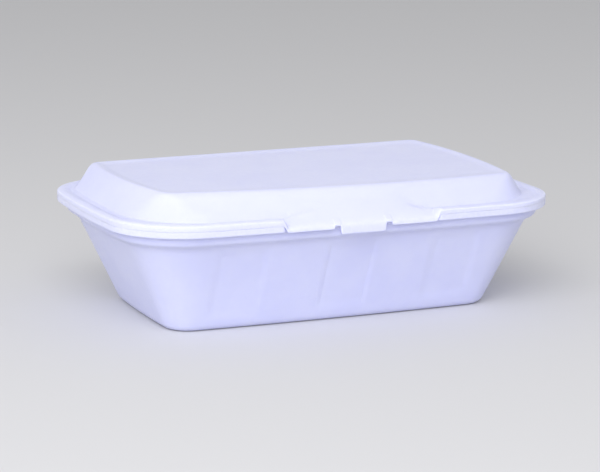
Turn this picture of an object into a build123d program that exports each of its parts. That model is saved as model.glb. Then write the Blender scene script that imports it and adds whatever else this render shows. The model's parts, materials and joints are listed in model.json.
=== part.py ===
from build123d import *
import os
from math import atan2, cos, tan

# Hinged foam food container, closed: a deep tray and a shallow domed lid pressed from one foam sheet.
# Millimetres. X runs along the hinge, the lock is at -Y, the hinge at +Y, and Z is up from the table.
# A section corner is (inset, height, rounding): inset is measured inwards from the edge of the rim.

# Rim outline in plan, shared by the tray and the lid
RIM_LENGTH = 240.0
RIM_WIDTH = 154.0
RIM_END_BOW = 4.5
RIM_FRONT_BOW = 3.3

# Closed height, from the table to the top plate
LID_HEIGHT = 71.0
LID_DEPTH = 14.6

# Foam sheet
WALL = 2.3
EDGE_BEVEL = 0.7
PARTING_BEVEL = 0.4

# Tray section, from the flange down to the base
TRAY_EDGE = 3.2
SHOULDER_INSET = 4.7
SHOULDER_DROP = 4.4
SHOULDER_BEVEL = 1.2
WALL_TOP_INSET = 10.1
WALL_TOP_DROP = 10.1
BASE_INSET = 31.3
BASE_CORNER = 7.5
BASE_ROUND = 6.0
FLOOR_LAP = 1.0

# Shallow panels pressed into the long walls
PANEL_COUNT = 3
PANEL_WIDTH = 25.0
PANEL_PITCH = 58.0
PANEL_DEPTH = 0.5
PANEL_FOOT = 9.0
PANEL_HEAD = 3.3
PANEL_FADE = 2.0

# Lid section, from the flange up to the top plate
LID_EDGE = 2.5
BEAD_INSET = 3.3
BEAD_HEIGHT = 3.1
BEAD_TOP = 1.6
CHANNEL_INSET = 6.7
CHANNEL_HEIGHT = 2.1
FOOT_INSET = 7.8
FOOT_CORNER = 34.0
PLATE_END_INSET = 21.3
PLATE_SIDE_INSET = 15.2
PLATE_CORNER = 9.0
PLATE_END_BOW = 5.1
PLATE_FRONT_BOW = 8.9
PLATE_ROUND = 3.0

# Front lock: a ramp down the lid's front to an apron, with a tongue between two relief notches
LOCK_LENGTH = 82.0
LOCK_WALL = 1.6
LOCK_CLEARANCE = 0.4
RAMP_RISE = 9.0
RAMP_DROP = 1.6
RAMP_ROUND = 3.0
APRON_DROP = 3.4
TONGUE_WIDTH = 24.0
TONGUE_DROP = 2.8
TONGUE_ROUND = 1.5
NOTCH_WIDTH = 3.5
NOTCH_HEIGHT = 1.6
NOTCH_ROUND = 0.6

# Fold along the straight of the back edge
FOLD_END_GAP = 2.5
FOLD_RADIUS = 0.6
FOLD_OFFSET = 0.2
FOLD_CLEARANCE = 0.05

FRONT_Y = -RIM_WIDTH / 2
FOLD_Y = RIM_WIDTH / 2 - FOLD_RADIUS
BACK_Y = FOLD_Y - FOLD_OFFSET
RIM_HEIGHT = LID_HEIGHT - LID_DEPTH
RIM_CORNER = BASE_CORNER + BASE_INSET
WALL_TOP_HEIGHT = RIM_HEIGHT - WALL_TOP_DROP
WALL_STEEPNESS = atan2(WALL_TOP_HEIGHT, BASE_INSET - WALL_TOP_INSET)
FLOOR_INSET = BASE_INSET + BASE_ROUND * tan(WALL_STEEPNESS / 2) + FLOOR_LAP
FOOT_HEIGHT = RIM_HEIGHT + CHANNEL_HEIGHT
FLANGE_UNDERSIDE = RIM_HEIGHT - TRAY_EDGE
LID_RING_INSET = FOOT_INSET + 2 * WALL
SECTION_PLANE = Plane(origin=(0, FRONT_Y, 0), x_dir=(0, 1, 0), z_dir=(1, 0, 0))


def bowed_outline(end_inset, side_inset, end_bow, front_bow, corner):
    """Plan outline, straight along the hinge and bowed outwards at the front and both ends."""
    end_x = RIM_LENGTH / 2 - end_inset
    front_y = FRONT_Y + side_inset
    back_y = BACK_Y - side_inset
    corner_x = end_x - end_bow
    corner_y = front_y + front_bow
    middle_y = (corner_y + back_y) / 2
    back = Line((-corner_x, back_y), (corner_x, back_y))
    right = ThreePointArc((corner_x, back_y), (end_x, middle_y), (corner_x, corner_y))
    front = ThreePointArc((corner_x, corner_y), (0, front_y), (-corner_x, corner_y))
    left = ThreePointArc((-corner_x, corner_y), (-end_x, middle_y), (-corner_x, back_y))
    face = make_face([back, right, front, left])
    return fillet(face.vertices(), corner)


def rim_outline():
    """Outer edge of both flanges in plan."""
    return bowed_outline(0, 0, RIM_END_BOW, RIM_FRONT_BOW, RIM_CORNER)


def half_rim_path():
    """Right half of the rim's edge, from the middle of the front round to the middle of the back."""
    half = split(rim_outline(), bisect_by=Plane.YZ, keep=Keep.TOP)
    cut_edge = half.edges().sort_by(Axis.X)[0]
    return Wire([edge for edge in half.edges() if edge != cut_edge])


def section(corners):
    """Section face through the middle of the front, with each corner rounded by its own radius."""
    points = [(inset, height) for inset, height, _ in corners]
    radii = [radius for _, _, radius in corners]
    return SECTION_PLANE * make_face(FilletPolyline(*points, radius=radii, close=True))


def carried_round(corners):
    """Ring made by carrying a section right round the rim, as one half and its mirror image."""
    half = sweep(section(corners), path=half_rim_path())
    return half + mirror(half, about=Plane.YZ)


def drawn_in(points, distance):
    """Inner side of a sheet: a line of (inset, height) points moved sideways, with mitred corners."""
    steps = [(Vector(*b) - Vector(*a)).normalized() for a, b in zip(points, points[1:])]
    sides = [Vector(-step.Y, step.X) for step in steps]
    before = [sides[0], *sides]
    after = [*sides, sides[-1]]
    mitres = [(a + b) / (1 + a.dot(b)) for a, b in zip(before, after)]
    moved = [Vector(*point) + mitre * distance for point, mitre in zip(points, mitres)]
    return [(point.X, point.Y) for point in moved]


def wall_inset(height):
    """Inset of the tray wall's outer face at a height."""
    return BASE_INSET + (WALL_TOP_INSET - BASE_INSET) * height / WALL_TOP_HEIGHT


def tray_shell():
    """Flange, shoulder, sloping walls and floor of the tray."""
    skin = [
        (SHOULDER_INSET, FLANGE_UNDERSIDE),
        (SHOULDER_INSET, FLANGE_UNDERSIDE - SHOULDER_DROP),
        (WALL_TOP_INSET, WALL_TOP_HEIGHT),
        (BASE_INSET, 0),
        (FLOOR_INSET, 0),
    ]
    _, ledge, wall_top, floor_edge, floor = drawn_in(skin, WALL)
    ledge_run = (Vector(*skin[2]) - Vector(*skin[1])).normalized()
    bevel_end = Vector(*skin[1]) + ledge_run * SHOULDER_BEVEL
    corners = [
        (PARTING_BEVEL, RIM_HEIGHT, 0),
        (0, RIM_HEIGHT - PARTING_BEVEL, 0),
        (0, FLANGE_UNDERSIDE + EDGE_BEVEL, 0),
        (EDGE_BEVEL, FLANGE_UNDERSIDE, 0),
        (*skin[0], 0),
        (SHOULDER_INSET, skin[1][1] + SHOULDER_BEVEL, 0),
        (bevel_end.X, bevel_end.Y, 0),
        (*skin[2], 0),
        (*skin[3], BASE_ROUND),
        (*skin[4], 0),
        (*floor, 0),
        (*floor_edge, BASE_ROUND - WALL),
        (*wall_top, 0),
        (*ledge, 0),
        (SHOULDER_INSET + WALL, RIM_HEIGHT, 0),
    ]
    floor_plate = extrude(offset(rim_outline(), -FLOOR_INSET), amount=WALL)
    return carried_round(corners) + floor_plate


def wall_panels():
    """What is pressed out of the long walls: shallow upright panels that fade out at top and bottom."""
    panel_top = WALL_TOP_HEIGHT - PANEL_HEAD
    heights = [PANEL_FOOT - PANEL_FADE, PANEL_FOOT + PANEL_FADE]
    heights += [panel_top - PANEL_FADE, panel_top + PANEL_FADE]
    depths = [-PANEL_DEPTH, PANEL_DEPTH, PANEL_DEPTH, -PANEL_DEPTH]
    band = carried_round([(wall_inset(z) + depth, z, 0) for z, depth in zip(heights, depths)])
    column = Box(PANEL_WIDTH, 2 * RIM_WIDTH, 2 * LID_HEIGHT)
    columns = Part() + [place * column for place in GridLocations(PANEL_PITCH, 0, PANEL_COUNT, 1)]
    return band & columns


def dome_outline(height, wall):
    """Level outline of the lid's dome, drawn in from its outer face by a wall."""
    rise = LID_HEIGHT - FOOT_HEIGHT
    share = (height - FOOT_HEIGHT) / rise
    end_spread = PLATE_END_INSET - FOOT_INSET
    side_spread = PLATE_SIDE_INSET - FOOT_INSET
    end_wall = wall / cos(atan2(end_spread, rise))
    side_wall = wall / cos(atan2(side_spread, rise))
    outline = bowed_outline(
        FOOT_INSET + share * end_spread + end_wall,
        FOOT_INSET + share * side_spread + side_wall,
        RIM_END_BOW + share * (PLATE_END_BOW - RIM_END_BOW),
        RIM_FRONT_BOW + share * (PLATE_FRONT_BOW - RIM_FRONT_BOW),
        FOOT_CORNER + share * (PLATE_CORNER - FOOT_CORNER) - wall,
    )
    return Pos(0, 0, height) * outline


def lid_dome():
    """Solid dome from the channel up to the top plate, with a rounded plate edge."""
    dome = loft([dome_outline(FOOT_HEIGHT, 0), dome_outline(LID_HEIGHT, 0)], ruled=True)
    return fillet(dome.faces().sort_by(Axis.Z)[-1].edges(), PLATE_ROUND)


def lid_hollow():
    """Space inside the lid, from the parting plane up to the underside of the top plate."""
    return loft([dome_outline(RIM_HEIGHT, WALL), dome_outline(LID_HEIGHT - WALL, WALL)], ruled=True)


def lid_flange():
    """Flange of the lid, with its raised bead and the channel at the foot of the dome."""
    return carried_round([
        (PARTING_BEVEL, RIM_HEIGHT, 0),
        (0, RIM_HEIGHT + PARTING_BEVEL, 0),
        (0, RIM_HEIGHT + LID_EDGE - EDGE_BEVEL, 0),
        (EDGE_BEVEL, RIM_HEIGHT + LID_EDGE, 0),
        (BEAD_INSET - BEAD_TOP / 2, RIM_HEIGHT + BEAD_HEIGHT, 0),
        (BEAD_INSET + BEAD_TOP / 2, RIM_HEIGHT + BEAD_HEIGHT, 0),
        (CHANNEL_INSET, FOOT_HEIGHT, 0),
        (LID_RING_INSET, FOOT_HEIGHT, 0),
        (LID_RING_INSET, RIM_HEIGHT, 0),
    ])


def lock_line():
    """Outer line of the lock's section: up past the tongue and the apron, then up the ramp into the dome."""
    ramp_top = RIM_HEIGHT + RAMP_RISE
    dome_slope = (LID_HEIGHT - FOOT_HEIGHT) / (PLATE_SIDE_INSET - FOOT_INSET)
    ramp_inset = FOOT_INSET + (ramp_top - FOOT_HEIGHT) / dome_slope
    ramp_slope = (RAMP_RISE + RAMP_DROP) / ramp_inset
    return [
        (0, WALL_TOP_HEIGHT),
        (0, RIM_HEIGHT - RAMP_DROP),
        (PLATE_SIDE_INSET, ramp_top + ramp_slope * (PLATE_SIDE_INSET - ramp_inset)),
    ]


def lock_gap():
    """Stretch of the lid's front flange that the lock takes the place of."""
    return Box(LOCK_LENGTH, RIM_WIDTH, 2 * LID_HEIGHT, align=(Align.CENTER, Align.MAX, Align.CENTER))


def lock_shape():
    """Front view of the lock: a long apron, and a tongue that hangs lower between two notches."""
    apron_bottom = RIM_HEIGHT - APRON_DROP
    tongue_bottom = apron_bottom - TONGUE_DROP
    half_tongue = TONGUE_WIDTH / 2
    half = FilletPolyline(
        (0, tongue_bottom),
        (half_tongue, tongue_bottom),
        (half_tongue, apron_bottom + NOTCH_HEIGHT),
        (half_tongue + NOTCH_WIDTH, apron_bottom + NOTCH_HEIGHT),
        (half_tongue + NOTCH_WIDTH, apron_bottom),
        (LOCK_LENGTH / 2, apron_bottom),
        (LOCK_LENGTH / 2, LID_HEIGHT),
        (0, LID_HEIGHT),
        radius=[TONGUE_ROUND, NOTCH_ROUND, NOTCH_ROUND, NOTCH_ROUND, TONGUE_ROUND, 0],
    )
    half_face = make_face([half, Line((0, LID_HEIGHT), (0, tongue_bottom))])
    face = half_face + mirror(half_face, about=Plane.YZ)
    return extrude(Plane.XZ * face, amount=RIM_WIDTH)


def lid_lock():
    """Ramp, apron and tongue at the middle of the lid's front."""
    outside = lock_line()
    foot, bend, ramp_end = drawn_in(outside, -LOCK_WALL)
    strip = section([
        (*outside[0], 0),
        (*outside[1], RAMP_ROUND),
        (*outside[2], 0),
        (*ramp_end, 0),
        (*bend, RAMP_ROUND - LOCK_WALL),
        (*foot, 0),
    ])
    return extrude(strip, amount=LOCK_LENGTH, both=True) & lock_shape()


def lock_space(half_length):
    """Space behind the lock's ramp, from its inner face down to the parting plane."""
    _, bend, ramp_end = drawn_in(lock_line(), -LOCK_WALL)
    ramp_slope = (ramp_end[1] - bend[1]) / (ramp_end[0] - bend[0])
    space = section([
        (bend[0] + (RIM_HEIGHT - bend[1]) / ramp_slope, RIM_HEIGHT, 0),
        (*ramp_end, 0),
        (ramp_end[0], RIM_HEIGHT, 0),
    ])
    return extrude(space, amount=half_length, both=True)


def lock_seat():
    """Bevel in the tray's front flange that the lid's lock closes over."""
    foot, bend, ramp_end = drawn_in(lock_line(), -LOCK_WALL - LOCK_CLEARANCE)
    notch = section([
        (foot[0], FLANGE_UNDERSIDE - SHOULDER_DROP, 0),
        (*bend, 0),
        (*ramp_end, 0),
        (-WALL, ramp_end[1], 0),
        (-WALL, FLANGE_UNDERSIDE - SHOULDER_DROP, 0),
    ])
    return extrude(notch, amount=LOCK_LENGTH / 2 + LOCK_CLEARANCE, both=True)


def fold(clearance):
    """Round crease that the lid turns on, along the straight of the back edge at the parting plane."""
    straight = rim_outline().edges().filter_by(GeomType.LINE)[0]
    length = straight.length - 2 * FOLD_END_GAP + 2 * clearance
    return Pos(0, FOLD_Y, RIM_HEIGHT) * Rot(0, 90, 0) * Cylinder(FOLD_RADIUS + clearance, length)


def make_tray():
    """Tray with its panels, the seat of the lock and the crease of the fold."""
    return tray_shell() - wall_panels() - lock_seat() + fold(0)


def make_lid():
    """Lid with its flange, dome and lock, hollow inside and cut clear of the crease of the fold."""
    outside = lid_flange() - lock_gap() + lid_dome() + lid_lock() + lock_space(LOCK_LENGTH / 2)
    return outside - lock_space(LOCK_LENGTH / 2 - LOCK_WALL) - lid_hollow() - fold(FOLD_CLEARANCE)


os.makedirs("parts", exist_ok=True)
export_step(make_tray(), "parts/tray.step")
export_step(make_lid(), "parts/lid.step")
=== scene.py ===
import json
from math import atan2, cos, pi, radians, sin, sqrt, tan
from typing import NamedTuple

import bpy
from bpy.props import FloatProperty, FloatVectorProperty, IntProperty, PointerProperty
from bpy.types import Operator, Panel, PropertyGroup
from mathutils import Matrix, Vector


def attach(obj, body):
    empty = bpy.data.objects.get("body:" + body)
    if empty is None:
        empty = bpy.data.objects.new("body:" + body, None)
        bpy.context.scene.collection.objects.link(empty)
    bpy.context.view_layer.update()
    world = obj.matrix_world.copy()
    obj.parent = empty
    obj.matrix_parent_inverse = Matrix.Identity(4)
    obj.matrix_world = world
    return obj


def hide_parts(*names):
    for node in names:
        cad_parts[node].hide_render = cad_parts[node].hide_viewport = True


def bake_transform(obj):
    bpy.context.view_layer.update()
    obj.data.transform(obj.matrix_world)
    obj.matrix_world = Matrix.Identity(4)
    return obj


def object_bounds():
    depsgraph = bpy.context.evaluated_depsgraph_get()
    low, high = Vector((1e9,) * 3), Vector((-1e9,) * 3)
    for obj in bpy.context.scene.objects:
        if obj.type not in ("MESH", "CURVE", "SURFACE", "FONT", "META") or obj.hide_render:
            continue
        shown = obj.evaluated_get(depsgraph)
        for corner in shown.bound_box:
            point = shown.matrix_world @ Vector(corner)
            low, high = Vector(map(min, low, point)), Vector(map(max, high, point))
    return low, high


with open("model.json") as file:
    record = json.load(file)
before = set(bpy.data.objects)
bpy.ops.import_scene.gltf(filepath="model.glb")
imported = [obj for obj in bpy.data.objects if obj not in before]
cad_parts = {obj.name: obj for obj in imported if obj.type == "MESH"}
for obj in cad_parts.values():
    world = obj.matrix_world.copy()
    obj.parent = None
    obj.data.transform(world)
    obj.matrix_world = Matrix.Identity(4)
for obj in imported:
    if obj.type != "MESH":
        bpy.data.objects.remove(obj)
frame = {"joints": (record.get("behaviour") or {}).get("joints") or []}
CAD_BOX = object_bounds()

bl_info = {
    "name": "Hinged foam container",
    "version": (1, 0, 0),
    "blender": (4, 5, 0),
    "location": "3D View > Sidebar > Container",
    "description": "Builds a pressed foam food container with a hinged lid, and a plain stage for it",
    "category": "Add Mesh",
}

MM = 0.001
LOW, HIGH = CAD_BOX
FOLD = Vector(frame["joints"][0]["pos_m"])
PARTING = FOLD.z

# Inset that stands for the middle line of the container
MIDDLE = (HIGH.y - LOW.y) / 2

# Steps round a corner of a section, over a floor or plate, down the tray's wall and up the dome
ARC_STEPS = 5
FLAT_STEPS = 12
WALL_STEPS = 22
DOME_STEPS = 8

# Steps of a ring: round a corner, along an end, along the front and over half a fade
CORNER_STEPS = 22
END_STEPS = 20
FRONT_STEP = 1.7 * MM
CLEAR_STEP = FRONT_STEP / 3
FADE_STEPS = 4

# Steps round the fold and along it, and the distance within which points are merged
FOLD_STEPS = 12
FOLD_ROWS = 60
MERGE_DISTANCE = 0.002 * MM

# How far the rounding of a section's corner reaches: on a soft bend, on a fine one and at the parting plane
SOFT = 0.8 * MM
FINE = 0.4 * MM
CLOSE = 0.15 * MM

# Corners by their number: two of the tray's section, and those of the lid's section that the lock needs
RIM_TOP, RIM_UNDER = 5, 6
DOME_FOOT, CHANNEL, BEAD, EDGE_TOP, EDGE_FOOT, OUTER, INNER, SEAT, HOLLOW_FOOT, HOLLOW_TOP = range(4, 14)

# Places of the lid's corners OUTER, INNER and SEAT under the flange, and the steps that follow each
UNDER_FLANGE = ((1 / 6, 1), (1 / 3, 1), (1 / 2, 3))

# Places of the two corners along the lock's ramp
RAMP_UPPER = 0.6
RAMP_LOWER = 0.3

# How far light spreads in the web, as a share of its thickness
WEB_SCATTER = 0.2

# Unevenness of the foam: its waves per metre, and the heights between which it begins to lift the foam
WAVES = 16.0
WAVE_START = 2 * MM
WAVE_FULL = 12 * MM

# Patterns of the foam per metre: soft clouds, the fine grain of the cells and the peel of the pressed skin
CLOUDS = 38.0
GRAIN = 620.0
PEEL = 190.0

# Values of a pattern between which its effect sets in
CLOUD_SPAN = (0.35, 0.7)
SPECKLE_SPAN = (0.45, 0.75)
GRAIN_SPAN = (0.3, 0.7)

# Strength of the foam's effects
SPECKLE = 0.25
LEAST_CUT = 0.4
GRAIN_ROUGHNESS = 0.06
CUT_ROUGHNESS = 0.2
CELL_RELIEF = 0.6
PEEL_RELIEF = 0.9
CUT_RELIEF = 2.0
BUMP = 0.6
SPECULAR = 0.1
SUBSURFACE = 0.7
TRAY_MOTTLING = 1.0
LID_MOTTLING = 0.6

FLOOR_SIZE = 12.0
FLOOR_ROUGHNESS = 0.9


def length(name, millimetres, description):
    """A size that a user can change."""
    default = millimetres * MM
    return FloatProperty(name=name, description=description, default=default, unit="LENGTH", precision=5)


def number(name, default, description, highest=1.0, unit="NONE"):
    """A number from nought to its highest value."""
    return FloatProperty(name=name, description=description, default=default, min=0.0, max=highest, unit=unit)


def angle(name, degrees, description):
    """An angle that a user can change."""
    return FloatProperty(name=name, description=description, default=radians(degrees), subtype="ANGLE")


def colour(name, default, description):
    """A colour in linear light."""
    return FloatVectorProperty(name=name, description=description, default=default, size=3, subtype="COLOR")


def place(name, default, description):
    """A point in the container's frame."""
    return FloatVectorProperty(name=name, description=description, default=default, size=3, unit="LENGTH")


class RimSizes(PropertyGroup):
    """Outline of the rim in plan, shared by the tray and the lid, and the foam sheet."""
    end_bow: length("End bow", 4.5, "How far each end bows outwards")
    front_bow: length("Front bow", 3.3, "How far the front bows outwards")
    corner: length("Corner", 38.8, "Corner radius of the rim")
    back_gap: length("Back gap", 0.2, "Gap from the back edge to the axis of the fold")
    sheet: length("Sheet", 2.3, "Thickness of the foam sheet")
    unevenness: length("Unevenness", 0.35, "How far the foam strays from its drawn shape")


class TraySizes(PropertyGroup):
    """Section of the tray, from its flange down to its base."""
    edge: length("Edge", 3.2, "Height of the flange's edge")
    shoulder_inset: length("Shoulder inset", 4.7, "Inset of the shoulder under the flange")
    shoulder_drop: length("Shoulder drop", 4.4, "Height of the shoulder's upright")
    shoulder_round: length("Shoulder rounding", 2.0, "How far the rounding of the shoulder reaches")
    flange_round: length("Flange rounding", 2.2, "How far the rounding under the flange reaches")
    wall_top_inset: length("Wall top inset", 10.1, "Inset of the top of the sloping wall")
    wall_top_drop: length("Wall top drop", 10.1, "Drop from the parting plane to the top of the wall")
    wall_round: length("Wall rounding", 2.6, "How far the rounding at the top of the wall reaches")
    base_inset: length("Base inset", 31.3, "Inset of the foot of the sloping wall")
    base_ring: length("Base ring", 36.2, "Inset of the ring where the flat base begins")
    base_corner: length("Base corner", 9.0, "Corner radius of that ring")
    base_end_bow: length("Base end bow", 1.3, "How far that ring's ends bow outwards")
    base_front_bow: length("Base front bow", 1.6, "How far that ring's front bows outwards")
    base_round: length("Base rounding", 6.0, "Radius of the edge between wall and base")
    panel_count: IntProperty(name="Panels", description="Upright panels in each long wall", default=3, min=1)
    panel_width: length("Panel width", 25.0, "Width of a pressed panel")
    panel_pitch: length("Panel pitch", 58.0, "Distance between panels")
    panel_depth: length("Panel depth", 0.5, "How deep a panel is pressed")
    panel_foot: length("Panel foot", 9.0, "Height of the foot of a panel")
    panel_head: length("Panel head", 3.3, "Drop from the top of the wall to the head of a panel")
    panel_fade: length("Panel fade", 1.3, "Half the width over which a panel's edge fades out")


class LidSizes(PropertyGroup):
    """Section of the lid, from its flange up to its top plate."""
    edge: length("Edge", 2.5, "Height of the flange's edge")
    bead_inset: length("Bead inset", 3.3, "Inset of the crest of the bead")
    bead_height: length("Bead height", 3.2, "Height of the bead over the parting plane")
    bead_round: length("Bead rounding", 1.3, "How far the rounding of the bead reaches")
    channel_inset: length("Channel inset", 6.7, "Inset of the channel inside the bead")
    channel_height: length("Channel height", 2.1, "Height of the channel over the parting plane")
    foot_inset: length("Foot inset", 7.8, "Inset of the foot of the dome at front and back")
    foot_end_inset: length("Foot end inset", 9.8, "Inset of the foot of the dome at both ends")
    foot_corner: length("Foot corner", 39.5, "Front corner radius of the foot of the dome")
    foot_back_corner: length("Foot back corner", 27.0, "Back corner radius of the foot of the dome")
    plate_end_inset: length("Plate end inset", 19.8, "Inset of the top plate at both ends")
    plate_side_inset: length("Plate side inset", 15.2, "Inset of the top plate at front and back")
    plate_corner: length("Plate corner", 9.0, "Front corner radius of the top plate")
    plate_back_corner: length("Plate back corner", 5.0, "Back corner radius of the top plate")
    plate_end_bow: length("Plate end bow", 5.1, "How far the plate's ends bow outwards")
    plate_front_bow: length("Plate front bow", 8.9, "How far the plate's front bows outwards")
    plate_round: length("Plate rounding", 5.2, "Radius of the edge of the top plate")
    lip: length("Lip", 4.5, "Width of the raised lip round the top plate")
    dish_width: length("Dish width", 5.0, "Width of the slope from the lip down into the plate")
    dish_depth: length("Dish depth", 0.7, "How far the plate lies below its lip")
    warp: length("Warp", 1.42, "Lift of the dome at a corner of the rim; the next corner sinks as far")
    warp_start: length("Warp start", 1.2, "Height over the parting plane where the warp begins")
    warp_full: length("Warp full", 5.0, "Height over the parting plane where the warp is whole")


class LockSizes(PropertyGroup):
    """Front lock: a ramp down to an apron, and a tongue between two notches."""
    half_length: length("Half length", 41.0, "Half the length of the lock")
    sheet: length("Sheet", 1.6, "Thickness of the lock")
    clearance: length("Clearance", 0.4, "Gap between the lock and its seat")
    ramp_rise: length("Ramp rise", 9.0, "Height of the ramp's top over the parting plane")
    ramp_half: length("Half ramp", 32.0, "Half the length of the full ramp")
    ramp_fade: length("Ramp fade", 8.5, "Half the width over which the ramp sinks at its ends")
    ramp_round: length("Ramp rounding", 2.4, "How far the rounding at the ramp's top reaches")
    end_rise: length("End rise", 3.6, "Height of the ramp's top at the ends of the lock")
    ramp_drop: length("Ramp drop", 1.6, "Drop of the ramp's foot under the parting plane")
    bend_round: length("Bend rounding", 1.4, "How far the rounding between ramp and apron reaches")
    apron_drop: length("Apron drop", 3.4, "Drop of the apron's lower edge")
    tongue_half: length("Half tongue", 12.0, "Half the width of the tongue")
    tongue_drop: length("Tongue drop", 2.8, "How far the tongue hangs below the apron")
    notch_width: length("Notch width", 3.5, "Width of the relief notch on each side of the tongue")
    notch_height: length("Notch height", 1.6, "How far a notch reaches up into the apron")
    end_fade: length("End fade", 1.5, "Half the width over which the lock's ends run out into the flange")
    fade: length("Fade", 0.5, "Half the width over which the tongue and the notches change the section")


class FoldSizes(PropertyGroup):
    """Thin web of the fold, which joins the two halves."""
    half_length: length("Half length", 77.6, "Half the length of the web")
    web: length("Web", 0.5, "Thickness of the web")
    bulge: length("Bulge", 0.6, "How far the closed web stands out behind the axis")
    reach: length("Reach", 1.5, "How far the web reaches above and below the axis")


class FoamLook(PropertyGroup):
    """Colour and surface of the foam."""
    skin: colour("Skin", (0.665, 0.685, 0.93), "Pressed skin of the foam")
    shade: colour("Shade", (0.635, 0.655, 0.91), "Thinner places of the sheet")
    cut: colour("Cut edge", (0.69, 0.71, 0.94), "Trimmed edge, where the cells are open")
    roughness: number("Roughness", 0.52, "Roughness of the skin")
    scatter: length("Scatter", 1.0, "How far light spreads in the foam")
    cell: length("Cell", 0.9, "Width of the foam's cells")
    cell_depth: length("Cell depth", 0.03, "Depth of the dimples between cells")


class StageLook(PropertyGroup):
    """Floor, light and camera."""
    floor: colour("Floor", (0.66, 0.66, 0.68), "Plain pale floor")
    ambient: number("Ambient", 0.61, "Strength of the light from all round", 5.0)
    key_power: number("Key power", 36.0, "Power of the large soft lamp", 500.0, "POWER")
    key_size: length("Key size", 1700.0, "Width of the large soft lamp")
    key_place: place("Key place", (-0.94, -1.37, 1.04), "Where the large soft lamp hangs")
    eye: place("Eye", (-0.42039, -0.96147, 0.24579), "Where the camera stands")
    target: place("Target", (-0.00058, 0.0, 0.03435), "What the camera looks at")
    roll: angle("Roll", 0.362, "Turn of the camera")
    lens: number("Lens", 122.805, "Focal length of the camera", 500.0, "CAMERA")


# Sections

class Corner(NamedTuple):
    """Corner of a section: its place, how far its rounding reaches, and the steps to the next corner."""
    inset: float
    height: float
    reach: float
    steps: int
    cut: float = 0.0


def drawn_in(points, distance):
    """Inner side of a sheet: a line of (inset, height) points moved sideways, with mitred corners."""
    steps = [(b - a).normalized() for a, b in zip(points, points[1:])]
    sides = [Vector((-step.y, step.x)) for step in steps]
    before = [sides[0], *sides]
    after = [*sides, sides[-1]]
    return [point + (a + b) / (1 + a @ b) * distance for point, a, b in zip(points, before, after)]


def eased(corner, spot, towards):
    """Where a corner's rounding begins on the side that runs towards another corner."""
    along = Vector((towards.x - spot.x, 0, towards.z - spot.z))
    return spot + along.normalized() * corner.reach


def softened(corners):
    """Points (inset, cut, height) along a section, with each corner eased over its reach."""
    spots = [Vector((corner.inset, corner.cut, corner.height)) for corner in corners]
    arcs = [[spots[0]]]
    for corner, before, spot, after in zip(corners[1:], spots, spots[1:], spots[2:]):
        start = eased(corner, spot, before)
        end = eased(corner, spot, after)
        shares = [step / ARC_STEPS for step in range(ARC_STEPS + 1)]
        arcs.append([start * (1 - t) ** 2 + spot * 2 * t * (1 - t) + end * t * t for t in shares])
    arcs.append([spots[-1]])
    points = []
    for corner, here, onward in zip(corners, arcs, arcs[1:]):
        points += here
        points += [here[-1].lerp(onward[0], step / corner.steps) for step in range(1, corner.steps)]
    return points + arcs[-1]


def changed(corners, changes):
    """A section with some of its corners moved: changes maps a corner's number to (inset, height, reach)."""
    moved = list(corners)
    for index, (inset, height, reach) in changes.items():
        moved[index] = moved[index]._replace(inset=inset, height=height, reach=reach)
    return moved


# Rings

class Plan(NamedTuple):
    """Plan outline of a ring: insets from the rim, bows, and radius of the front and the back corners."""
    end_inset: float
    side_inset: float
    end_bow: float
    front_bow: float
    front_corner: float
    back_corner: float


def crossing(centre_a, radius_a, centre_b, radius_b):
    """Where two circles cross, on the side that lies to the right and in front."""
    between = centre_b - centre_a
    along = (radius_a ** 2 - radius_b ** 2 + between.length_squared) / (2 * between.length)
    across = sqrt(radius_a ** 2 - along ** 2)
    ahead = between.normalized()
    side = Vector((-ahead.y, ahead.x))
    options = [centre_a + ahead * along + side * turn * across for turn in (-1, 1)]
    return max(options, key=lambda point: point.x - point.y)


def arc(centre, start, end, shares):
    """Points with inward normals along the shorter arc from start to end."""
    first = atan2(start.y - centre.y, start.x - centre.x)
    turn = (end - centre).angle_signed(start - centre)
    radius = (start - centre).length
    rays = [Vector((cos(first + turn * share), sin(first + turn * share))) for share in shares]
    return [(centre + ray * radius, -ray) for ray in rays]


def even(count):
    """Evenly spaced shares of a stretch, without its end."""
    return [step / count for step in range(count)]


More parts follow.
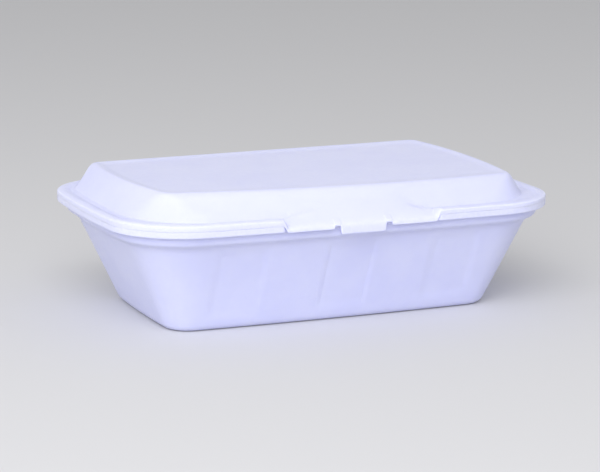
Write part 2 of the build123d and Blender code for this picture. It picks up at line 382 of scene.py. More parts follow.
class Ring:
    """Closed outline in plan, straight along the fold and bowed at the front and both ends."""

    def __init__(self, rim, plan):
        end_x = HIGH.x - plan.end_inset
        front_y = LOW.y + plan.side_inset
        back_y = FOLD.y - rim.back_gap - plan.side_inset
        half_front = end_x - plan.end_bow
        half_end = (back_y - front_y - plan.front_bow) / 2
        front_radius = (half_front ** 2 + plan.front_bow ** 2) / (2 * plan.front_bow)
        end_radius = (half_end ** 2 + plan.end_bow ** 2) / (2 * plan.end_bow)
        bend = plan.front_corner
        back_bend = plan.back_corner
        self.front = Vector((0, front_y + front_radius))
        self.end = Vector((end_x - end_radius, back_y - half_end))
        self.front_corner = crossing(self.front, front_radius - bend, self.end, end_radius - bend)
        back_rise = back_y - back_bend - self.end.y
        back_x = self.end.x + sqrt((end_radius - back_bend) ** 2 - back_rise ** 2)
        self.back_corner = Vector((back_x, back_y - back_bend))
        self.front_stop = self.front_corner + (self.front_corner - self.front).normalized() * bend
        self.end_start = self.front_corner + (self.front_corner - self.end).normalized() * bend
        self.end_stop = self.back_corner + (self.back_corner - self.end).normalized() * back_bend
        self.back_start = Vector((back_x, back_y))

    def points(self, shares):
        """Points with inward normals, from the left of the front round by the right."""
        flip = Vector((-1, 1))
        bend = even(CORNER_STEPS)
        side = even(END_STEPS)
        front = arc(self.front, self.front_stop * flip, self.front_stop, shares)
        right = arc(self.front_corner, self.front_stop, self.end_start, bend)
        right += arc(self.end, self.end_start, self.end_stop, side)
        right += arc(self.back_corner, self.end_stop, self.back_start, bend)
        back = [(self.back_start * Vector((1 - 2 * share, 1)), Vector((0, -1))) for share in shares]
        left = arc(self.back_corner * flip, self.back_start * flip, self.end_stop * flip, bend)
        left += arc(self.end * flip, self.end_stop * flip, self.end_start * flip, side)
        left += arc(self.front_corner * flip, self.end_start * flip, self.front_stop * flip, bend)
        return front + right + back + left

    def row(self, shares, inset=0.0):
        """Points of the ring, or of a line that runs inside it."""
        return [point + inward * inset for point, inward in self.points(shares)]


class Band(NamedTuple):
    """Middle stretch of the front where the section changes: half its width, and half that of each end."""
    half: float
    fade: float


def front_shares(half, bands):
    """Steps along the front as shares of its length: even ones, and close ones where the section changes."""
    count = round(2 * half / FRONT_STEP)
    edges = [(side * band.half, band.fade) for band in bands for side in (-1, 1)]
    turns = [step / FADE_STEPS for step in range(-FADE_STEPS, FADE_STEPS + 1)]
    close = [edge + turn * fade for edge, fade in edges for turn in turns]
    wide = [half * (2 * share - 1) for share in even(count)]
    kept = [x for x in wide if all(abs(x - edge) > fade + CLEAR_STEP for edge, fade in edges)]
    return [(x / half + 1) / 2 for x in sorted(kept + close)]


def middle_points(half, shares):
    """Ring drawn together to a line along the middle, point for point as in Ring.points."""
    turn = 2 * CORNER_STEPS + END_STEPS
    front = [Vector((half * (2 * share - 1), 0)) for share in shares]
    back = [Vector((half * (1 - 2 * share), 0)) for share in shares]
    return front + [Vector((half, 0))] * turn + back + [Vector((-half, 0))] * turn


# Node trees

class Builder:
    """A node tree under construction."""

    def __init__(self, name, kind, inputs, outputs):
        self.tree = bpy.data.node_groups.new(name, kind)
        for title, socket_type in inputs:
            self.tree.interface.new_socket(title, in_out="INPUT", socket_type=socket_type)
        for title, socket_type in outputs:
            self.tree.interface.new_socket(title, in_out="OUTPUT", socket_type=socket_type)
        self.entry = self.tree.nodes.new("NodeGroupInput").outputs
        self.exit = self.tree.nodes.new("NodeGroupOutput").inputs

    def add(self, kind, inputs, **settings):
        """Places a node and gives back its first live output; an input is a value or a node's output."""
        node = self.tree.nodes.new(kind)
        for key, value in settings.items():
            setattr(node, key, value)
        for key, value in inputs.items():
            socket = node.inputs[key] if isinstance(key, int) else live(node.inputs, key)
            if isinstance(value, bpy.types.NodeSocket):
                self.tree.links.new(value, socket)
            else:
                socket.default_value = value
        return next(output for output in node.outputs if output.enabled)

    def math(self, operation, a, b=0.0):
        """Arithmetic on two numbers."""
        return self.add("ShaderNodeMath", {0: a, 1: b}, operation=operation)

    def whole(self, operation, a, b):
        """Arithmetic on two whole numbers."""
        return self.add("FunctionNodeIntegerMath", {0: a, 1: b}, operation=operation)

    def ramp(self, value, start, stop, low=0.0, high=1.0, curve="SMOOTHSTEP"):
        """A value that runs from low to high as another goes from start to stop, and stays there."""
        spans = {"Value": value, "From Min": start, "From Max": stop, "To Min": low, "To Max": high}
        return self.add("ShaderNodeMapRange", spans, interpolation_type=curve)

    def mix(self, share, a, b, kind="VECTOR"):
        """Blend of two vectors, or of two colours."""
        return self.add("ShaderNodeMix", {"Factor": share, "A": a, "B": b}, data_type=kind)

    def parts(self, vector):
        """X, Y and Z of a vector."""
        node = self.add("ShaderNodeSeparateXYZ", {"Vector": vector}).node
        return node.outputs

    def sample(self, thing, index):
        """Place of a numbered point of a guide object."""
        info = self.add("GeometryNodeObjectInfo", {"Object": thing}).node
        position = self.add("GeometryNodeInputPosition", {})
        source = {"Geometry": info.outputs["Geometry"], "Value": position, "Index": index}
        return self.add("GeometryNodeSampleIndex", source, data_type="FLOAT_VECTOR")


def live(sockets, name):
    """The socket of that name which the node's settings leave in use."""
    return next(socket for socket in sockets if socket.enabled and socket.name == name)


def shell_builder(name, guides, bands, extra=()):
    """A tree with the inputs that a pressed shell needs."""
    inputs = [("Steps Round", "NodeSocketInt"), ("Steps Across", "NodeSocketInt")]
    inputs += [("Rim", "NodeSocketObject"), ("Section", "NodeSocketObject")]
    for guide in guides:
        inputs += [(guide, "NodeSocketObject"), (guide + " Inset", "NodeSocketFloat")]
    for band in bands:
        inputs += [(band + " Section", "NodeSocketObject"), (band + " Half Width", "NodeSocketFloat")]
        inputs += [(band + " Fade", "NodeSocketFloat")]
    inputs += [("Unevenness", "NodeSocketFloat"), ("Material", "NodeSocketMaterial")]
    inputs += [(title, "NodeSocketFloat") for title in extra]
    return Builder(name, "GeometryNodeTree", inputs, [("Geometry", "NodeSocketGeometry")])


def carried_section(tree, guides, bands):
    """Carries a section round the rim and its guide rings, and changes it inside each band of the front."""
    entry = tree.entry
    sheet = {"Vertices X": tree.whole("ADD", entry["Steps Round"], 1), "Vertices Y": entry["Steps Across"]}
    grid = tree.add("GeometryNodeMeshGrid", sheet)
    index = tree.add("GeometryNodeInputIndex", {})
    across = tree.whole("MODULO", index, entry["Steps Across"])
    column = tree.whole("DIVIDE_FLOOR", index, entry["Steps Across"])
    around = tree.whole("MODULO", column, entry["Steps Round"])
    spot = tree.sample(entry["Rim"], around)
    rim_x, rim_y, _ = tree.parts(spot)
    at_front = tree.math("LESS_THAN", rim_y, 0.0)
    sideways = tree.math("ABSOLUTE", rim_x)
    point = tree.sample(entry["Section"], across)
    for band in bands:
        half = entry[band + " Half Width"]
        inner = tree.math("SUBTRACT", half, entry[band + " Fade"])
        outer = tree.math("ADD", half, entry[band + " Fade"])
        inside = tree.math("MULTIPLY", at_front, tree.ramp(sideways, inner, outer, 1.0, 0.0))
        point = tree.mix(inside, point, tree.sample(entry[band + " Section"], across))
    inset, cut, height = tree.parts(point)
    reached = 0.0
    for guide in guides:
        share = tree.ramp(inset, reached, entry[guide + " Inset"], curve="LINEAR")
        spot = tree.mix(share, spot, tree.sample(entry[guide], around))
        reached = entry[guide + " Inset"]
    x, y, _ = tree.parts(spot)
    position = tree.add("ShaderNodeCombineXYZ", {"X": x, "Y": y, "Z": height})
    shaped = tree.add("GeometryNodeSetPosition", {"Geometry": grid, "Position": position})
    mark = {"Geometry": shaped, "Name": "cut_edge", "Value": cut}
    return tree.add("GeometryNodeStoreNamedAttribute", mark, data_type="FLOAT", domain="POINT")


def pressed_panels(tree, shell):
    """Presses a row of shallow upright panels into the long walls."""
    entry = tree.entry
    position = tree.add("GeometryNodeInputPosition", {})
    x, y, z = tree.parts(position)
    half_pitch = tree.math("MULTIPLY", entry["Panel Pitch"], 0.5)
    half_row = tree.math("MULTIPLY", half_pitch, entry["Panel Count"])
    start = tree.math("MULTIPLY", half_row, -1.0)
    wrapped = tree.math("PINGPONG", tree.math("SUBTRACT", x, start), half_pitch)
    from_middle = tree.math("SUBTRACT", half_pitch, wrapped)
    half_width = tree.math("MULTIPLY", entry["Panel Width"], 0.5)
    fade = entry["Panel Fade"]
    inner = tree.math("SUBTRACT", half_width, fade)
    outer = tree.math("ADD", half_width, fade)
    across = tree.ramp(from_middle, inner, outer, 1.0, 0.0)
    in_row = tree.math("LESS_THAN", tree.math("ABSOLUTE", x), half_row)
    rises = [tree.math(way, entry["Panel Foot"], fade) for way in ("SUBTRACT", "ADD")]
    falls = [tree.math(way, entry["Panel Top"], fade) for way in ("SUBTRACT", "ADD")]
    upright = tree.math("MULTIPLY", tree.ramp(z, *rises), tree.ramp(z, *falls, 1.0, 0.0))
    mask = tree.math("MULTIPLY", tree.math("MULTIPLY", across, in_row), upright)
    inward = tree.math("MULTIPLY", tree.math("SIGN", y), -1.0)
    push = tree.math("MULTIPLY", tree.math("MULTIPLY", inward, entry["Panel Depth"]), mask)
    offset = tree.add("ShaderNodeCombineXYZ", {"Y": push})
    return tree.add("GeometryNodeSetPosition", {"Geometry": shell, "Offset": offset})


def warped_dome(tree, shell):
    """Warps the dome a little: two opposite corners rise and the others sink, and the flange stays."""
    entry = tree.entry
    x, y, z = tree.parts(tree.add("GeometryNodeInputPosition", {}))
    share = tree.math("DIVIDE", tree.math("MULTIPLY", x, y), HIGH.x * HIGH.y)
    amount = tree.math("MULTIPLY", entry["Warp"], tree.ramp(z, entry["Warp Start"], entry["Warp Full"]))
    lift = tree.add("ShaderNodeCombineXYZ", {"Z": tree.math("MULTIPLY", share, amount)})
    return tree.add("GeometryNodeSetPosition", {"Geometry": shell, "Offset": lift})


def finish_shell(tree, shell):
    """Adds the foam's slight unevenness, closes the seam and gives the shell its material."""
    entry = tree.entry
    position = tree.add("GeometryNodeInputPosition", {})
    waves = tree.add("ShaderNodeTexNoise", {"Vector": position, "Scale": WAVES, "Detail": 1.0}).node
    middle = (0.5, 0.5, 0.5)
    centred = tree.add("ShaderNodeVectorMath", {0: waves.outputs["Color"], 1: middle}, operation="SUBTRACT")
    stray = tree.add("ShaderNodeVectorMath", {0: centred, "Scale": entry["Unevenness"]}, operation="SCALE")
    _, _, height = tree.parts(position)
    off_table = tree.ramp(height, WAVE_START, WAVE_FULL)
    x, y, z = tree.parts(stray)
    lifted = tree.add("ShaderNodeCombineXYZ", {"X": x, "Y": y, "Z": tree.math("MULTIPLY", z, off_table)})
    uneven = tree.add("GeometryNodeSetPosition", {"Geometry": shell, "Offset": lifted})
    closed = tree.add("GeometryNodeMergeByDistance", {"Geometry": uneven, "Distance": MERGE_DISTANCE})
    smooth = tree.add("GeometryNodeSetShadeSmooth", {"Geometry": closed})
    plain = tree.add("GeometryNodeRealizeInstances", {"Geometry": smooth})
    coated = tree.add("GeometryNodeSetMaterial", {"Geometry": plain, "Material": entry["Material"]})
    tree.tree.links.new(coated, tree.exit["Geometry"])
    return tree.tree


def guide_object(name, points):
    """Object that holds a row of points for a tree to sample."""
    mesh = bpy.data.meshes.new(name)
    mesh.from_pydata([point.to_3d() for point in points], [], [])
    guide = bpy.data.objects.new(name, mesh)
    bpy.context.scene.collection.objects.link(guide)
    return guide


def shell_values(edge, section, guides, bands, band_sections):
    """Inputs of a shell: its steps, rim and section, and its guide rings and bands, by name.

    A guide ring has the inset that it stands for and its points, and a band has a section of its own.
    """
    values = {
        "Steps Round": len(edge),
        "Steps Across": len(section),
        "Rim": guide_object("rim", edge),
        "Section": guide_object("section", section),
    }
    for name, (inset, points) in guides.items():
        values[name] = guide_object(name, points)
        values[name + " Inset"] = inset
    for (name, band), corners in zip(bands.items(), band_sections):
        values[name + " Section"] = guide_object(name, softened(corners))
        values[name + " Half Width"] = band.half
        values[name + " Fade"] = band.fade
    return values


def made_by_tree(name, tree, values):
    """Piece made by a node tree: its inputs are set by identifier, and its result becomes a plain mesh."""
    piece = bpy.data.objects.new(name, bpy.data.meshes.new(name))
    bpy.context.scene.collection.objects.link(piece)
    modifier = piece.modifiers.new("Shell", "NODES")
    modifier.node_group = tree
    for item in tree.interface.items_tree:
        if item.in_out == "INPUT":
            modifier[item.identifier] = values[item.name]
    ready = piece.evaluated_get(bpy.context.evaluated_depsgraph_get())
    mesh = bpy.data.meshes.new_from_object(ready)
    piece.modifiers.clear()
    piece.data = mesh
    mesh.name = name
    for guide in {value for value in values.values() if isinstance(value, bpy.types.Object)}:
        bpy.data.objects.remove(guide)
    return piece


# Foam

def foam_group():
    """Colour, roughness and relief of pressed foam: soft mottling, fine cells and an open cut edge."""
    inputs = [(title, "NodeSocketColor") for title in ("Skin", "Shade", "Cut")]
    inputs += [(title, "NodeSocketFloat") for title in ("Roughness", "Cell", "Mottling")]
    outputs = [("Color", "NodeSocketColor"), ("Roughness", "NodeSocketFloat"), ("Height", "NodeSocketFloat")]
    tree = Builder("foam_skin", "ShaderNodeTree", inputs, outputs)
    entry = tree.entry
    where = tree.add("ShaderNodeTexCoord", {}).node.outputs["Object"]
    soft = {"Vector": where, "Scale": CLOUDS, "Detail": 3.0, "Roughness": 0.55}
    clouds = tree.add("ShaderNodeTexNoise", soft)
    grain = tree.add("ShaderNodeTexNoise", {"Vector": where, "Scale": GRAIN, "Detail": 2.0})
    peel = tree.add("ShaderNodeTexNoise", {"Vector": where, "Scale": PEEL, "Detail": 1.0})
    per_metre = tree.math("DIVIDE", 1.0, entry["Cell"])
    cells = tree.add("ShaderNodeTexVoronoi", {"Vector": where, "Scale": per_metre}, feature="SMOOTH_F1")
    edge = tree.add("ShaderNodeAttribute", {}, attribute_name="cut_edge").node.outputs["Fac"]
    thin = tree.math("MULTIPLY", tree.ramp(clouds, *CLOUD_SPAN), entry["Mottling"])
    body = tree.mix(thin, entry["Skin"], entry["Shade"], "RGBA")
    speckled = tree.mix(tree.ramp(grain, *SPECKLE_SPAN, 0.0, SPECKLE), body, entry["Shade"], "RGBA")
    open_cells = tree.math("MULTIPLY", edge, tree.ramp(grain, *GRAIN_SPAN, LEAST_CUT, 1.0))
    tinted = tree.mix(open_cells, speckled, entry["Cut"], "RGBA")
    uneven = tree.ramp(grain, *GRAIN_SPAN, -GRAIN_ROUGHNESS, GRAIN_ROUGHNESS, "LINEAR")
    skin_rough = tree.math("ADD", entry["Roughness"], uneven)
    rough = tree.math("ADD", skin_rough, tree.math("MULTIPLY", edge, CUT_ROUGHNESS))
    dimples = tree.math("MULTIPLY", cells, CELL_RELIEF)
    bumps = tree.math("ADD", dimples, tree.math("MULTIPLY", peel, PEEL_RELIEF))
    torn = tree.math("MULTIPLY", tree.math("MULTIPLY", grain, edge), CUT_RELIEF)
    relief = tree.math("ADD", bumps, torn)
    tree.tree.links.new(tinted, tree.exit["Color"])
    tree.tree.links.new(rough, tree.exit["Roughness"])
    tree.tree.links.new(relief, tree.exit["Height"])
    return tree.tree


def foam_material(name, look, mottling, scatter):
    """Pressed foam with a soft sheen; light spreads a little way into it."""
    material = bpy.data.materials.new(name)
    material.use_nodes = True
    nodes = material.node_tree.nodes
    links = material.node_tree.links
    shader = nodes["Principled BSDF"]
    shader.inputs["Specular IOR Level"].default_value = SPECULAR
    shader.inputs["Subsurface Weight"].default_value = SUBSURFACE
    shader.inputs["Subsurface Radius"].default_value = (1.0, 1.0, 1.0)
    shader.inputs["Subsurface Scale"].default_value = scatter
    skin = nodes.new("ShaderNodeGroup")
    skin.node_tree = bpy.data.node_groups.get("foam_skin") or foam_group()
    for title, value in (("Skin", look.skin), ("Shade", look.shade), ("Cut", look.cut)):
        skin.inputs[title].default_value = (*value, 1.0)
    for title, value in (("Roughness", look.roughness), ("Cell", look.cell), ("Mottling", mottling)):
        skin.inputs[title].default_value = value
    bump = nodes.new("ShaderNodeBump")
    bump.inputs["Strength"].default_value = BUMP
    bump.inputs["Distance"].default_value = look.cell_depth
    links.new(skin.outputs["Color"], shader.inputs["Base Color"])
    links.new(skin.outputs["Roughness"], shader.inputs["Roughness"])
    links.new(skin.outputs["Height"], bump.inputs["Height"])
    links.new(bump.outputs["Normal"], shader.inputs["Normal"])
    return material


# Pieces

def rim_plan(rim):
    """Plan of the rim itself."""
    return Plan(0, 0, rim.end_bow, rim.front_bow, rim.corner, rim.corner)


def lock_bands(lock):
    """Stretches where the front section changes: the lock, its full ramp, its notches and the tongue."""
    return {
        "Lock": Band(lock.half_length, lock.end_fade),
        "Ramp": Band(lock.ramp_half, lock.ramp_fade),
        "Notch": Band(lock.tongue_half + lock.notch_width, lock.fade),
        "Tongue": Band(lock.tongue_half, lock.fade),
    }


class Ramp:
    """Straight line of the lock's ramp, from the flange's edge up to where it leaves the dome."""

    def __init__(self, lid, lock, rise):
        dome_slope = (HIGH.z - PARTING - lid.channel_height) / (lid.plate_side_inset - lid.foot_inset)
        self.top_inset = lid.foot_inset + (rise - lid.channel_height) / dome_slope
        self.slope = (rise + lock.ramp_drop) / self.top_inset
        self.foot = PARTING - lock.ramp_drop
        self.lean = sqrt(1 + self.slope ** 2)

    def height(self, inset, below=0.0):
        """Height of the ramp at an inset, or of a line that lies below it."""
        return self.foot + self.slope * inset - self.lean * below

    def inset(self, height, below=0.0):
        """Inset where the ramp, or a line that lies below it, comes to a height."""
        return (height - self.foot + self.lean * below) / self.slope

    def corners(self, lock):
        """Corners of the lid's section that lie along the ramp."""
        upper = RAMP_UPPER * self.top_inset
        lower = RAMP_LOWER * self.top_inset
        return {
            DOME_FOOT: (self.top_inset, self.height(self.top_inset), lock.ramp_round),
            CHANNEL: (upper, self.height(upper), FINE),
            BEAD: (lower, self.height(lower), FINE),
            EDGE_TOP: (0, self.foot, lock.bend_round),
        }


class ContainerTray(Operator):
    """Builds the deep tray from its section, with its pressed panels and the seat of the lock"""
    bl_idname = "container.tray"
    bl_label = "Tray"

    def execute(self, context):
        scene = context.scene
        rim, tray, lid, lock = scene.foam_rim, scene.foam_tray, scene.foam_lid, scene.foam_lock
        ring = Ring(rim, rim_plan(rim))
        all_bands = lock_bands(lock)
        shares = front_shares(ring.front_stop.x, all_bands.values())
        base_bows = (tray.base_end_bow, tray.base_front_bow)
        base_corners = (tray.base_corner, tray.base_corner)
        base = Ring(rim, Plan(tray.base_ring, tray.base_ring, *base_bows, *base_corners))
        half_middle = ring.front_stop.x - tray.base_ring
        guides = {
            "Wall Top": (tray.wall_top_inset, ring.row(shares, tray.wall_top_inset)),
            "Base": (tray.base_ring, base.row(shares)),
            "Middle": (MIDDLE, middle_points(half_middle, shares)),
        }
        bands = {"Lock": all_bands["Lock"]}
        extra = ["Panel " + title for title in ("Count", "Width", "Pitch", "Depth", "Foot", "Top", "Fade")]
        tree = shell_builder("tray_shell", guides, bands, extra)
        shell = finish_shell(tree, pressed_panels(tree, carried_section(tree, guides, bands)))
        corners = tray_corners(rim, tray)
        seat = seat_corners(corners, lid, lock)
        look = scene.foam_look
        values = shell_values(ring.row(shares), softened(corners), guides, bands, [seat]) | {
            "Unevenness": rim.unevenness,
            "Material": foam_material("foam_tray", look, TRAY_MOTTLING, look.scatter),
            "Panel Count": float(tray.panel_count),
            "Panel Width": tray.panel_width,
            "Panel Pitch": tray.panel_pitch,
            "Panel Depth": tray.panel_depth,
            "Panel Foot": tray.panel_foot,
            "Panel Top": PARTING - tray.wall_top_drop - tray.panel_head,
            "Panel Fade": tray.panel_fade,
        }
        piece = made_by_tree("foam_tray", shell, values)
        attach(piece, "tray")
        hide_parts("tray")
        return {"FINISHED"}


def tray_corners(rim, tray):
    """Tray section from the middle of the floor up over the rim and down to the middle of the underside."""
    underside = PARTING - tray.edge
    skin = [
        Vector((tray.shoulder_inset, underside)),
        Vector((tray.shoulder_inset, underside - tray.shoulder_drop)),
        Vector((tray.wall_top_inset, PARTING - tray.wall_top_drop)),
        Vector((tray.base_inset, 0)),
        Vector((tray.base_ring, 0)),
    ]
    _, ledge, wall_top, floor_edge, _ = drawn_in(skin, rim.sheet)
    steepness = atan2(skin[2].y, tray.base_inset - tray.wall_top_inset)
    base_reach = tan(steepness / 2)
    return [
        Corner(MIDDLE, rim.sheet, 0, FLAT_STEPS),
        Corner(*floor_edge, (tray.base_round - rim.sheet) * base_reach, WALL_STEPS),
        Corner(*wall_top, SOFT, 3),
        Corner(*ledge, FINE, 3),
        Corner(tray.shoulder_inset + rim.sheet, PARTING, FINE, 5),
        Corner(0, PARTING, CLOSE, 2, cut=1.0),
        Corner(0, underside, SOFT, 3, cut=1.0),
        Corner(*skin[0], tray.flange_round, 2),
        Corner(*skin[1], tray.shoulder_round, 3),
        Corner(*skin[2], tray.wall_round, WALL_STEPS),
        Corner(*skin[3], tray.base_round * base_reach, FLAT_STEPS),
        Corner(MIDDLE, 0, 0, 1),
    ]


def seat_corners(corners, lid, lock):
    """Tray section inside the lock, where the flange is bevelled to let the lock close over it."""
    gap = lock.sheet + lock.clearance
    ramp = Ramp(lid, lock, lock.ramp_rise)
    return changed(corners, {
        RIM_TOP: (ramp.inset(PARTING, gap), PARTING, FINE),
        RIM_UNDER: (gap, ramp.height(gap, gap), FINE),
    })


class ContainerLid(Operator):
    """Builds the domed lid from its section, with the ramp, apron and tongue of the lock"""
    bl_idname = "container.lid"
    bl_label = "Lid"

    def execute(self, context):
        scene = context.scene
        rim, lid, lock, look = scene.foam_rim, scene.foam_lid, scene.foam_lock, scene.foam_look
        ring = Ring(rim, rim_plan(rim))
        bands = lock_bands(lock)
        shares = front_shares(ring.front_stop.x, bands.values())
        foot_insets = (lid.foot_end_inset, lid.foot_inset)
        foot_corners = (lid.foot_corner, lid.foot_back_corner)
        foot = Plan(*foot_insets, rim.end_bow, rim.front_bow, *foot_corners)
        plate_insets = (lid.plate_end_inset, lid.plate_side_inset)
        plate_corners = (lid.plate_corner, lid.plate_back_corner)
        plate = Plan(*plate_insets, lid.plate_end_bow, lid.plate_front_bow, *plate_corners)
        half_middle = HIGH.x / 2
        guides = {
            "Channel": (lid.channel_inset, ring.row(shares, lid.channel_inset)),
            "Foot": (lid.foot_inset, Ring(rim, foot).row(shares)),
            "Plate": (lid.plate_side_inset, Ring(rim, plate).row(shares)),
            "Middle": (MIDDLE, middle_points(half_middle, shares)),
        }
        tree = shell_builder("lid_shell", guides, bands, ("Warp", "Warp Start", "Warp Full"))
        shell = finish_shell(tree, warped_dome(tree, carried_section(tree, guides, bands)))
        corners = lid_corners(rim, lid)
        locked = lock_corners(corners, lid, lock)
        values = shell_values(ring.row(shares), softened(corners), guides, bands, locked) | {
            "Unevenness": rim.unevenness,
            "Material": foam_material("foam_lid", look, LID_MOTTLING, look.scatter),
            "Warp": lid.warp,
            "Warp Start": PARTING + lid.warp_start,
            "Warp Full": PARTING + lid.warp_full,
        }
        piece = made_by_tree("foam_lid", shell, values)
        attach(piece, "lid")
        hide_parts("lid")
        return {"FINISHED"}


def lid_corners(rim, lid):
    """Lid section from the middle of the top plate out to the flange and back under to the middle."""
    foot_height = PARTING + lid.channel_height
    spread = lid.plate_side_inset - lid.foot_inset
    rise = HIGH.z - foot_height
    steepness = atan2(rise, spread)
    under_plate = HIGH.z - rim.sheet
    hollow = lid.foot_inset + rim.sheet / sin(steepness)
    hollow_foot = hollow + (PARTING - foot_height) * spread / rise
    hollow_top = hollow + (under_plate - foot_height) * spread / rise
    dish = HIGH.z - lid.dish_depth
    lip_inset = lid.plate_side_inset + lid.lip
    lip_reach = lid.lip / 3
    dish_reach = lid.dish_width / 2
    return [
        Corner(MIDDLE, dish, 0, FLAT_STEPS),
        Corner(lip_inset + lid.dish_width, dish, dish_reach, 2),
        Corner(lip_inset, HIGH.z, lip_reach, 1),
        Corner(lid.plate_side_inset, HIGH.z, lid.plate_round * tan(steepness / 2), DOME_STEPS),
        Corner(lid.foot_inset, foot_height, FINE, 1),
        Corner(lid.channel_inset, foot_height, FINE, 3),
        Corner(lid.bead_inset, PARTING + lid.bead_height, lid.bead_round, 2),
        Corner(0, PARTING + lid.edge, SOFT, 2, cut=1.0),
        Corner(0, PARTING, CLOSE, 1, cut=1.0),
        *[Corner(hollow_foot * share, PARTING, FINE, steps) for share, steps in UNDER_FLANGE],
        Corner(hollow_foot, PARTING, FINE, DOME_STEPS),
        Corner(hollow_top, under_plate, SOFT, FLAT_STEPS),
        Corner(MIDDLE, under_plate, 0, 1),
    ]


def lock_corners(corners, lid, lock):
    """Lid sections through the lock's ends, its full ramp, a notch and the tongue."""
    sheet = lock.sheet
    ramp = Ramp(lid, lock, lock.ramp_rise)
    bottom = PARTING - lock.apron_drop
    ends = changed(corners, Ramp(lid, lock, lock.end_rise).corners(lock) | {
        EDGE_FOOT: (0, bottom, FINE),
        OUTER: (sheet, bottom, FINE),
        INNER: (sheet, ramp.height(sheet, sheet), FINE),
        SEAT: (ramp.inset(PARTING, sheet), PARTING, FINE),
    })
    hollow_foot = corners[HOLLOW_FOOT]
    hollow_top = corners[HOLLOW_TOP]
    lean = (hollow_top.inset - hollow_foot.inset) / (hollow_top.height - hollow_foot.height)
    meet = (hollow_foot.inset + lean * (ramp.height(0, sheet) - PARTING)) / (1 - lean * ramp.slope)
    full = changed(ends, ramp.corners(lock) | {HOLLOW_FOOT: (meet, ramp.height(meet, sheet), FINE)})
    top = bottom + lock.notch_height
    deep = ramp.inset(top, sheet)
    nick = FINE / 3
    notch = changed(full, {
        EDGE_TOP: (nick, ramp.foot + SOFT, FINE),
        EDGE_FOOT: (2 * nick, top, nick),
        OUTER: (deep - FINE, top, nick),
        INNER: (deep + FINE, top + ramp.slope * FINE, nick),
    })
    low = bottom - lock.tongue_drop
    tongue = changed(full, {EDGE_FOOT: (0, low, SOFT), OUTER: (sheet, low, SOFT)})
    return ends, full, notch, tongue


class ContainerFold(Operator):
    """Builds the thin web of the fold"""
    bl_idname = "container.fold"
    bl_label = "Fold"

    def execute(self, context):
        scene = context.scene
        fold = scene.foam_fold
        web = fold_web(fold, scene.foam_rim)
        scatter = fold.web * WEB_SCATTER
        web.data.materials.append(foam_material("foam_fold", scene.foam_look, LID_MOTTLING, scatter))
        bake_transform(web)
        return {"FINISHED"}


def fold_web(fold, rim):
    """Strip of thin foam that rounds the axis from the tray's edge to the lid's edge."""
    back = FOLD.y - rim.back_gap
    depth = rim.back_gap + fold.bulge
    turns = [step / FOLD_STEPS - 0.5 for step in range(FOLD_STEPS + 1)]
    outer = [(back + depth * cos(turn * pi), PARTING + fold.reach * 2 * turn) for turn in turns]
    inner = [(y - fold.web, z) for y, z in outer]
    loop = outer + inner[::-1]
    rows = [fold.half_length * (2 * step / FOLD_ROWS - 1) for step in range(FOLD_ROWS + 1)]
    points = [(x, y, z) for x in rows for y, z in loop]
    size = len(loop)
    sides = [(spot, (spot + 1) % size) for spot in range(size)]
    starts = [row * size for row in range(FOLD_ROWS)]
    faces = [(at + a, at + b, at + size + b, at + size + a) for at in starts for a, b in sides]
    caps = [(spot, size - 1 - spot, size - 2 - spot, spot + 1) for spot in range(FOLD_STEPS)]
    faces += caps
    last = FOLD_ROWS * size
    faces += [tuple(last + spot for spot in reversed(cap)) for cap in caps]
    mesh = bpy.data.meshes.new("fold_web")
    mesh.from_pydata(points, [], faces)
    mesh.shade_smooth()
    web = bpy.data.objects.new("fold_web", mesh)
    bpy.context.scene.collection.objects.link(web)
    return web


# Stage

def plain_material(name, tint, roughness):
    """Plain matt surface for the stage."""
    material = bpy.data.materials.new(name)
    material.use_nodes = True
    shader = material.node_tree.nodes["Principled BSDF"]
    shader.inputs["Base Color"].default_value = (*tint, 1.0)
    shader.inputs["Roughness"].default_value = roughness
    return material


def looking(eye, target, roll):
    """Placement of a lamp or camera at one point, facing another."""
    turn = (target - eye).to_track_quat("-Z", "Y").to_matrix().to_4x4()
    return Matrix.Translation(eye) @ turn @ Matrix.Rotation(roll, 4, "Z")


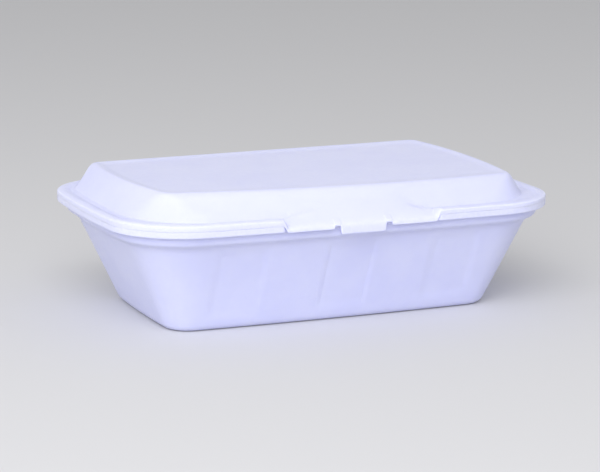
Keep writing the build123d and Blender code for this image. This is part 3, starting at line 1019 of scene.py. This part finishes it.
class ContainerStage(Operator):
    """Sets up a plain pale floor, soft light and the camera"""
    bl_idname = "container.stage"
    bl_label = "Stage"

    def execute(self, context):
        scene = context.scene
        look = scene.foam_stage
        bpy.ops.mesh.primitive_plane_add(size=FLOOR_SIZE)
        floor = context.object
        floor.name = "floor"
        floor.data.materials.append(plain_material("floor", look.floor, FLOOR_ROUGHNESS))
        world = bpy.data.worlds.new("studio")
        world.use_nodes = True
        world.node_tree.nodes["Background"].inputs["Color"].default_value = (1.0, 1.0, 1.0, 1.0)
        world.node_tree.nodes["Background"].inputs["Strength"].default_value = look.ambient
        scene.world = world
        lamp = bpy.data.lights.new("key", "AREA")
        lamp.energy = look.key_power
        lamp.size = look.key_size
        key = bpy.data.objects.new("key", lamp)
        scene.collection.objects.link(key)
        target = Vector(look.target)
        key.matrix_world = looking(Vector(look.key_place), target, 0.0)
        camera = bpy.data.objects.new("camera", bpy.data.cameras.new("camera"))
        camera.data.lens = look.lens
        camera.matrix_world = looking(Vector(look.eye), target, look.roll)
        scene.collection.objects.link(camera)
        scene.camera = camera
        scene.view_settings.view_transform = "Standard"
        return {"FINISHED"}


class ContainerPanel(Panel):
    """Sizes, looks and steps of the container"""
    bl_idname = "VIEW3D_PT_container"
    bl_label = "Foam container"
    bl_space_type = "VIEW_3D"
    bl_region_type = "UI"
    bl_category = "Container"

    def draw(self, context):
        for step in STEPS:
            self.layout.operator(step.bl_idname)
        for slot in SETTINGS:
            settings = getattr(context.scene, slot)
            for name in settings.bl_rna.properties.keys():
                if name not in ("rna_type", "name"):
                    self.layout.prop(settings, name)


SETTINGS = {
    "foam_rim": RimSizes,
    "foam_tray": TraySizes,
    "foam_lid": LidSizes,
    "foam_lock": LockSizes,
    "foam_fold": FoldSizes,
    "foam_look": FoamLook,
    "foam_stage": StageLook,
}
STEPS = (ContainerTray, ContainerLid, ContainerFold, ContainerStage)


def register():
    """Makes the settings, steps and panel known to Blender."""
    for group in (*SETTINGS.values(), *STEPS, ContainerPanel):
        bpy.utils.register_class(group)
    for slot, group in SETTINGS.items():
        setattr(bpy.types.Scene, slot, PointerProperty(type=group))


def unregister():
    """Takes the settings, steps and panel away again."""
    for slot in SETTINGS:
        delattr(bpy.types.Scene, slot)
    for group in (ContainerPanel, *STEPS, *SETTINGS.values()):
        bpy.utils.unregister_class(group)


def main():
    """Builds the container and its stage."""
    register()
    bpy.ops.container.tray()
    bpy.ops.container.lid()
    bpy.ops.container.fold()
    bpy.ops.container.stage()


if __name__ == "__main__":
    main()
